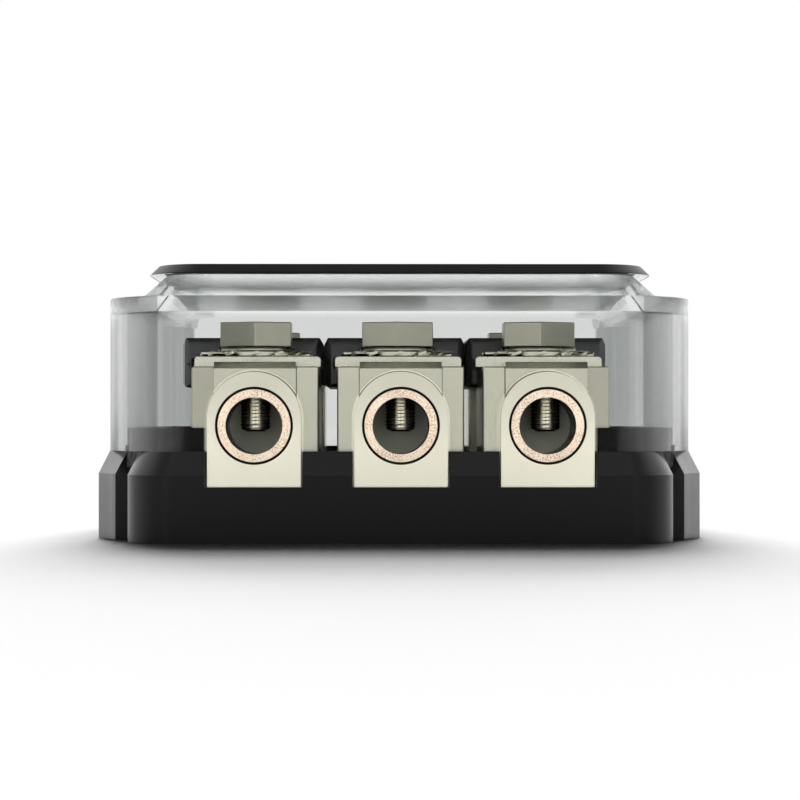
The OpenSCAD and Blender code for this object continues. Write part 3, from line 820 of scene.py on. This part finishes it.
def surroundings():
    """White sky that reflections see with two upright soft boxes by the camera and brighter sides."""
    sky = Sky("studio")
    sky.shader.inputs["Color"].default_value = grey(1.0)
    turn = sky.axis("X").angle_from(0 - sky.axis("Y"))
    boxes = sky.ramp((turn.abs() - BOX_TURN).abs(), BOX_FULL, BOX_FADED, 1.0, 0.0)
    ahead = sky.ramp(turn.abs(), AHEAD_FROM, AHEAD_TO)
    sides = sky.ramp(turn.abs(), SIDE_FROM, SIDE_FULL) * sky.ramp(turn.abs(), SIDE_END, SIDE_LAST)
    gloss = SKY_GLOSS + BOX_GLOSS * boxes + AHEAD_GLOSS * ahead + SIDE_GLOSS * sides
    diffuse = sky.ramp(sky.light_path("Diffuse Depth"), 0.0, 1.0)
    shiny = sky.light_path("Is Glossy Ray") * (1 - sky.light_path("Is Transmission Ray"))
    seen = 1 + shiny * (gloss - 1)
    sky.feed("Strength", seen + diffuse * (FILL - seen))
    bpy.context.scene.world = sky.world


def soft_lights():
    """Wide soft lights stacked up behind the holder; they draw its shadow towards the camera."""
    for height, spread, share in SOFT_LIGHTS:
        data = bpy.data.lights.new("soft_light", "SUN")
        data.energy = share * math.pi / FLOOR_SHADE / math.sin(math.radians(height))
        data.angle = math.radians(spread)
        light = bpy.data.objects.new("soft_light", data)
        light.rotation_euler = (math.radians(height - 90), 0, 0)
        light.visible_glossy = False
        light.visible_transmission = False
        bpy.context.scene.collection.objects.link(light)


def camera():
    """Camera at the eye point, turned so that level lines run to the same point as in the photograph."""
    focal_px = PX_PER_MM_AT_FRONT / MM * EYE_DISTANCE
    data = bpy.data.cameras.new("camera")
    data.sensor_width = SENSOR_MM
    data.lens = focal_px / PHOTO_PX * SENSOR_MM
    data.clip_start = CLIP_START
    obj = bpy.data.objects.new("camera", data)
    front_y = cad_box[0][1]
    obj.location = (EYE_X, front_y - EYE_DISTANCE, EYE_HEIGHT)
    right = math.atan((PHOTO_PX / 2 - VANISH_X_PX) / focal_px)
    up = math.atan((HORIZON_Y_PX - PHOTO_PX / 2) / focal_px)
    obj.rotation_euler = (math.pi / 2 + up, 0, -right)
    bpy.context.scene.collection.objects.link(obj)
    bpy.context.scene.camera = obj


# Finish each piece

nickel = terminal_nickel()
# The bolts' nickel is painted darker than the terminals' nickel, as painted shade of their facets
nickel_bolt_shaded = plated("bolt_nickel", 0.52, 0.3, 0.6, tint=(1.0, 0.98, 0.80))
nickel_screw = plated("screw_nickel", 0.88, 0.2)
nickel_washer = plated("washer_nickel", 0.80, 0.16)
nickel_spring = spring_nickel()
nickel_blade = plated("blade_nickel", 0.90, 0.26)
plain_steel = plated("plain_steel", 0.5, 0.35, tint=(1.0, 1.0, 1.0))
copper = turned_copper()
tray_black = moulded_black("tray_black", 0.008, 0.3, 0.16)
badge_black = badge_plate()
case_black = moulded_black("case_black", 0.03, 0.4, 1.0, ior=1.65)
clear_lid = clear_cover()
clear_window = clear_pane()

refined("tray", tray_black, 0.25)
clear_piece("lid", clear_lid)
lift_underside(refined("badge", badge_black, 0.2))
for name in each("terminal"):
    refined(name, nickel, 0.18)
for name in each("cable_sleeve"):
    refined(name, copper, 0.12)
for name in each("set_screw"):
    set_screw_piece(name, nickel_screw)
for name in each("clamp_bolt"):
    refined(name, nickel_bolt_shaded, 0.18)
for name in each("spring_washer"):
    refined(name, nickel_spring, 0.1)
washer_tree, washer_sockets = teeth_tree()
for name in each("toothed_washer"):
    toothed_washer_piece(name, nickel_washer, washer_tree, washer_sockets)
for name in each("fixing_screw"):
    refined(name, plain_steel, 0.1)
for lane, name in zip((-1, 0, 1), each_fuse("fuse_blade")):
    centre_blade(refined(name, nickel_blade, 0.12), lane * BLADE_PITCH + BLADE_SHIFT)
for name in each_fuse("fuse_case_lower") + each_fuse("fuse_case_upper"):
    refined(name, case_black, 0.15)
for name in each_fuse("fuse_window"):
    clear_piece(name, clear_window, 0.1)

floor()
surroundings()
soft_lights()
camera()
bpy.context.scene.view_settings.view_transform = "Standard"
bpy.context.scene.view_settings.look = "None"
